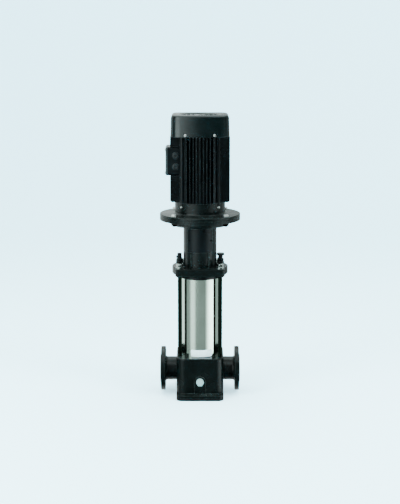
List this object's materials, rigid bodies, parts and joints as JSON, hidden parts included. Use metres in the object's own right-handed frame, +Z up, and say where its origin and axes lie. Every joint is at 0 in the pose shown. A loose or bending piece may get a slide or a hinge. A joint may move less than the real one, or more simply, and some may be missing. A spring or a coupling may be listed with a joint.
{
  "type": "vertical multistage pump",
  "caption": "Upright in-line multistage pump: flanged ports at the base, steel sleeve with staybolts, stool and finned motor on top.",
  "frame": {"origin": "on the shaft axis, at the underside of the base plate", "axes": "+Z up along the shaft, +X along the ports from suction to discharge, -Y the front with the drain plug"},
  "size_m": [0.3, 0.3, 1.056],
  "materials": {
    "cast_iron_black": "satin black coat over cast iron",
    "motor_black": "satin black coat over cast aluminium",
    "grey_cover": "satin dark grey-green coat",
    "polished_steel": "polished, faint turning marks",
    "pressed_stainless": "pressed and welded sheet, satin",
    "plated_steel": "bright plated",
    "black_plastic": "matt black",
    "seal_rubber": "smooth black",
    "seal_carbide": "lapped dark carbide",
    "electrical_steel": "stacked laminations",
    "copper_winding": "varnished enamelled wire"
  },
  "bodies": {
    "pump_frame": {"base_plate": "cast_iron_black", "bearing_outer_rings": "plated_steel", "chamber_1": "pressed_stainless", "chamber_2": "pressed_stainless", "chamber_3": "pressed_stainless", "chamber_4": "pressed_stainless", "chamber_5": "pressed_stainless", "chamber_6": "pressed_stainless", "chamber_7": "pressed_stainless", "coupling_guard_back": "motor_black", "coupling_guard_front": "motor_black", "discharge_flange": "cast_iron_black", "drain_plug": "plated_steel", "drive_end_shield": "cast_iron_black", "entry_plugs": "black_plastic", "fan_cover": "grey_cover", "fan_cover_screws": "plated_steel", "flange_bolt_sets": "plated_steel", "guard_screws": "plated_steel", "head_cover": "cast_iron_black", "inlet_part": "pressed_stainless", "motor_stool": "cast_iron_black", "outer_sleeve": "polished_steel", "outlet_part": "pressed_stainless", "port_base": "cast_iron_black", "priming_plug": "motor_black", "pump_head": "cast_iron_black", "rear_end_shield": "motor_black", "seal_seat": "seal_carbide", "sleeve_seals": "seal_rubber", "stack_straps": "pressed_stainless", "stage_wear_rings": "seal_carbide", "stator_core": "electrical_steel", "stator_housing": "motor_black", "stator_windings": "copper_winding", "staybolt_nut_sets": "plated_steel", "staybolts": "plated_steel", "suction_flange": "cast_iron_black", "terminal_box": "motor_black", "terminal_box_lid": "motor_black", "vent_plug": "motor_black"},
    "rotor": {"pump_shaft": "pressed_stainless", "shaft_nut": "pressed_stainless", "seal_ring": "seal_carbide", "coupling_half_front": "cast_iron_black", "coupling_half_back": "cast_iron_black", "coupling_screws": "plated_steel", "motor_shaft": "plated_steel", "rotor_core": "electrical_steel", "bearing_inner_rings": "plated_steel", "fan": "black_plastic", "impeller_1": "pressed_stainless", "impeller_2": "pressed_stainless", "impeller_3": "pressed_stainless", "impeller_4": "pressed_stainless", "impeller_5": "pressed_stainless", "impeller_6": "pressed_stainless", "impeller_7": "pressed_stainless"},
    "ball_sets": {"bearing_balls": "plated_steel"},
    "vent": {"vent_spindle": "motor_black"}
  },
  "joints": [
    {"name": "rotor_spin", "type": "hinge", "parent": "pump_frame", "child": "rotor", "pos_m": [0, 0, 0.5], "axis": [0, 0, 1], "continuous": true},
    {"name": "ball_roll", "type": "hinge", "parent": "pump_frame", "child": "ball_sets", "pos_m": [0, 0, 0.7], "axis": [0, 0, 1], "continuous": true},
    {"name": "vent_turn", "type": "hinge", "parent": "pump_frame", "child": "vent", "pos_m": [-0.077, 0, 0.53], "axis": [0, 0, 1], "range_deg": [0, 540]}
  ],
  "couplings": [
    {"joint": "ball_roll", "follows": "rotor_spin", "ratio": 0.415}
  ]
}
